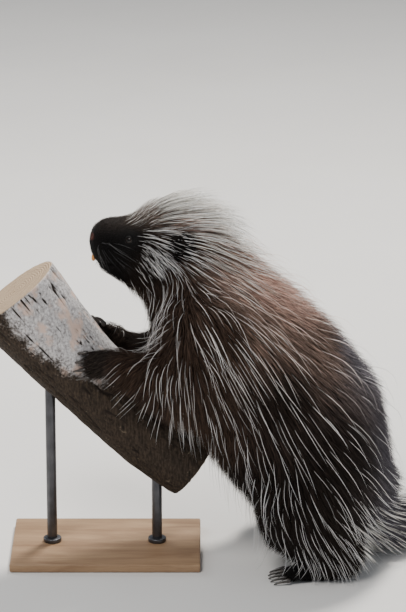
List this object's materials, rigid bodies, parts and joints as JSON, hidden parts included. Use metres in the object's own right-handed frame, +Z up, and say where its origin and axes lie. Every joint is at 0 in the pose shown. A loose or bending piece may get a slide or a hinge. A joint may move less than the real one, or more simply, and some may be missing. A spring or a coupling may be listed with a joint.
{
  "type": "porcupine model",
  "caption": "Life-size still model of a tree porcupine standing on its hind feet and tail, forepaws gripping a slanting cut log on a small stand.",
  "frame": {"origin": "middle of the bounding box, on the floor", "axes": "+X from the head towards the tail, +Y towards the animal's right side, +Z up"},
  "size_m": [0.7256, 0.3018, 0.5082],
  "materials": {
    "coat": "long dark brown fur with pale, silver-tipped guard hairs",
    "bare_skin": "dark skin under short fur",
    "claw": "dark polished horn",
    "tooth": "orange enamel",
    "eye": "glossy black",
    "log_bark": "weathered bark, pale above and brown below",
    "stand_wood": "satin varnish",
    "stand_steel": "dark satin"
  },
  "bodies": {
    "root": {"head": "coat", "jaw": "coat", "left_ear": "bare_skin", "left_eye": "eye", "left_foot": "bare_skin", "left_foot_claw_1": "claw", "left_foot_claw_2": "claw", "left_foot_claw_3": "claw", "left_foot_claw_4": "claw", "left_foot_claw_5": "claw", "left_forearm": "coat", "left_hand": "bare_skin", "left_hand_claw_1": "claw", "left_hand_claw_2": "claw", "left_hand_claw_3": "claw", "left_hand_claw_4": "claw", "left_incisor": "tooth", "left_thigh": "coat", "left_upper_arm": "coat", "muzzle": "coat", "neck": "coat", "perch_log": "log_bark", "right_ear": "bare_skin", "right_eye": "eye", "right_foot": "bare_skin", "right_foot_claw_1": "claw", "right_foot_claw_2": "claw", "right_foot_claw_3": "claw", "right_foot_claw_4": "claw", "right_foot_claw_5": "claw", "right_forearm": "coat", "right_hand": "bare_skin", "right_hand_claw_1": "claw", "right_hand_claw_2": "claw", "right_hand_claw_3": "claw", "right_hand_claw_4": "claw", "right_incisor": "tooth", "right_thigh": "coat", "right_upper_arm": "coat", "stand_base": "stand_wood", "stand_rod_front": "stand_steel", "stand_rod_rear": "stand_steel", "tail": "coat", "trunk_front": "coat", "trunk_rear": "coat"}
  },
  "joints": []
}
